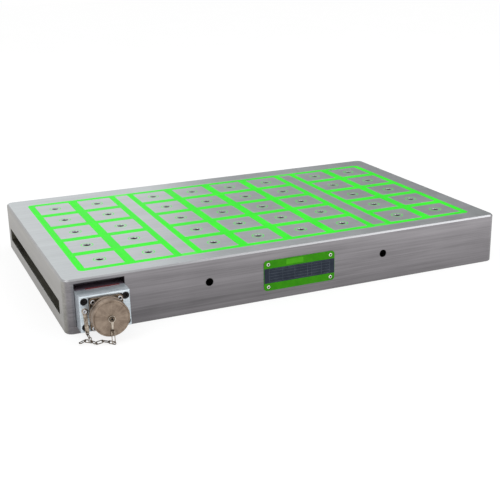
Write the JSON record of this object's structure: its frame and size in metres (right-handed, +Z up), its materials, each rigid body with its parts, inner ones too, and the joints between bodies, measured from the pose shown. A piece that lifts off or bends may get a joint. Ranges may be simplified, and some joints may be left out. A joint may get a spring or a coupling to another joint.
{
  "type": "magnetic chuck",
  "caption": "Rectangular square-pole magnetic workholding chuck with clamping slots, lifting holes and a connector under a chained dust cap.",
  "frame": {"origin": "centre of the ground base face", "axes": "+X along the long side, the connector being at -X; +Y to the back, away from the connector; +Z up, out of the work face"},
  "size_m": [0.606, 0.4269, 0.0675],
  "materials": {
    "ground_steel": "surface ground",
    "pole_steel": "surface ground",
    "alnico": "as cast",
    "copper_winding": "enamelled wire, varnished",
    "nickel_magnet": "nickel plated",
    "green_resin": "cast epoxy, ground flush",
    "wire_sleeve": "insulated leads",
    "plate_paint": "printed bands on thin aluminium",
    "block_aluminium": "milled",
    "red_rubber": "matte",
    "black_rubber": "matte",
    "black_screw": "black oxide",
    "olive_aluminium": "olive plating, worn",
    "insert_plastic": "matte",
    "contact_brass": "plated",
    "nickel_steel": "nickel plated",
    "chain_steel": "dark plating, worn bright at the edges"
  },
  "bodies": {
    "chuck": {"chuck_body": "ground_steel", "pole_column_1": "pole_steel", "pole_column_2": "pole_steel", "pole_column_3": "pole_steel", "pole_column_4": "pole_steel", "pole_column_5": "pole_steel", "pole_column_6": "pole_steel", "pole_column_7": "pole_steel", "pole_column_8": "pole_steel", "alnico_magnets": "alnico", "coils": "copper_winding", "row_magnets": "nickel_magnet", "column_magnets": "nickel_magnet", "border_magnets": "nickel_magnet", "resin_fill_left": "green_resin", "resin_fill_middle": "green_resin", "resin_fill_right": "green_resin", "rib_jumpers": "wire_sleeve", "wire_bundle": "wire_sleeve", "nameplate": "plate_paint", "connector_block": "block_aluminium", "block_gasket": "red_rubber", "block_screws": "black_screw", "flange_gasket": "black_rubber", "receptacle_shell": "olive_aluminium", "receptacle_insert": "insert_plastic", "contact_pins": "contact_brass", "chain_lug": "chain_steel"},
    "cap_swivel": {"cap_rivet": "nickel_steel", "cap_tab": "nickel_steel"},
    "cap": {"dust_cap": "olive_aluminium", "cap_seal": "black_rubber"},
    "hanger": {"chain_hanger": "nickel_steel"},
    "strand": {"chain_strand": "chain_steel"},
    "ring": {"chain_ring": "chain_steel"},
    "link_5": {"chain_link_5": "chain_steel"},
    "link_4": {"chain_link_4": "chain_steel"},
    "link_3": {"chain_link_3": "chain_steel"},
    "link_2": {"chain_link_2": "chain_steel"},
    "link_1": {"chain_link_1": "chain_steel"},
    "tail": {"chain_tail": "chain_steel"}
  },
  "joints": [
    {"name": "cap_travel", "type": "slide", "parent": "chuck", "child": "cap_swivel", "axis": [0, -1, 0], "range_m": [0, 0.007]},
    {"name": "cap_turn", "type": "hinge", "parent": "cap_swivel", "child": "cap", "pos_m": [-0.2595, -0.234, 0.031], "axis": [0, -1, 0], "range_deg": [0, 1800]},
    {"name": "hanger_swing", "type": "hinge", "parent": "cap_swivel", "child": "hanger", "pos_m": [-0.2595, -0.2361, 0.0165], "axis": [1, 0, 0], "range_deg": [0, 12.3]},
    {"name": "strand_swing", "type": "hinge", "parent": "chuck", "child": "strand", "pos_m": [-0.28323, -0.2109, 0.00645], "axis": [0, 0, 1], "range_deg": [0, 6.02]},
    {"name": "ring_swing", "type": "hinge", "parent": "strand", "child": "ring", "pos_m": [-0.28323, -0.22024, 0.0047], "axis": [0, 0, 1], "range_deg": [-5.22, 0]},
    {"name": "link_5_swing", "type": "hinge", "parent": "ring", "child": "link_5", "pos_m": [-0.28323, -0.22024, 0.0022], "axis": [0, 0, 1], "range_deg": [-5.22, 0]},
    {"name": "link_4_swing", "type": "hinge", "parent": "link_5", "child": "link_4", "pos_m": [-0.28088, -0.22221, 0.0022], "axis": [0, 0, 1], "range_deg": [0, 3.67]},
    {"name": "link_3_swing", "type": "hinge", "parent": "link_4", "child": "link_3", "pos_m": [-0.2786, -0.22846, 0.0022], "axis": [0, 0, 1], "range_deg": [-16.65, 0]},
    {"name": "link_2_swing", "type": "hinge", "parent": "link_3", "child": "link_2", "pos_m": [-0.26899, -0.22589, 0.0022], "axis": [0, 0, 1], "range_deg": [0, 14.18]},
    {"name": "link_1_swing", "type": "hinge", "parent": "link_2", "child": "link_1", "pos_m": [-0.26429, -0.23059, 0.0022], "axis": [0, 0, 1], "range_deg": [-5.72, 0]},
    {"name": "tail_swing", "type": "hinge", "parent": "link_5", "child": "tail", "pos_m": [-0.2885, -0.21582, 0.0022], "axis": [0, 0, 1], "range_deg": [-25, 25]}
  ],
  "couplings": [
    {"joint": "cap_travel", "follows": "cap_turn", "m_per_rad": 0.0002228},
    {"joint": "hanger_swing", "follows": "cap_turn", "ratio": 0.0066667},
    {"joint": "strand_swing", "follows": "cap_turn", "ratio": 0.0031775},
    {"joint": "ring_swing", "follows": "cap_turn", "ratio": -0.0027311},
    {"joint": "link_5_swing", "follows": "cap_turn", "ratio": -0.0027311},
    {"joint": "link_4_swing", "follows": "cap_turn", "ratio": 0.0018744},
    {"joint": "link_3_swing", "follows": "cap_turn", "ratio": -0.0090816},
    {"joint": "link_2_swing", "follows": "cap_turn", "ratio": 0.007712},
    {"joint": "link_1_swing", "follows": "cap_turn", "ratio": -0.0030125}
  ]
}
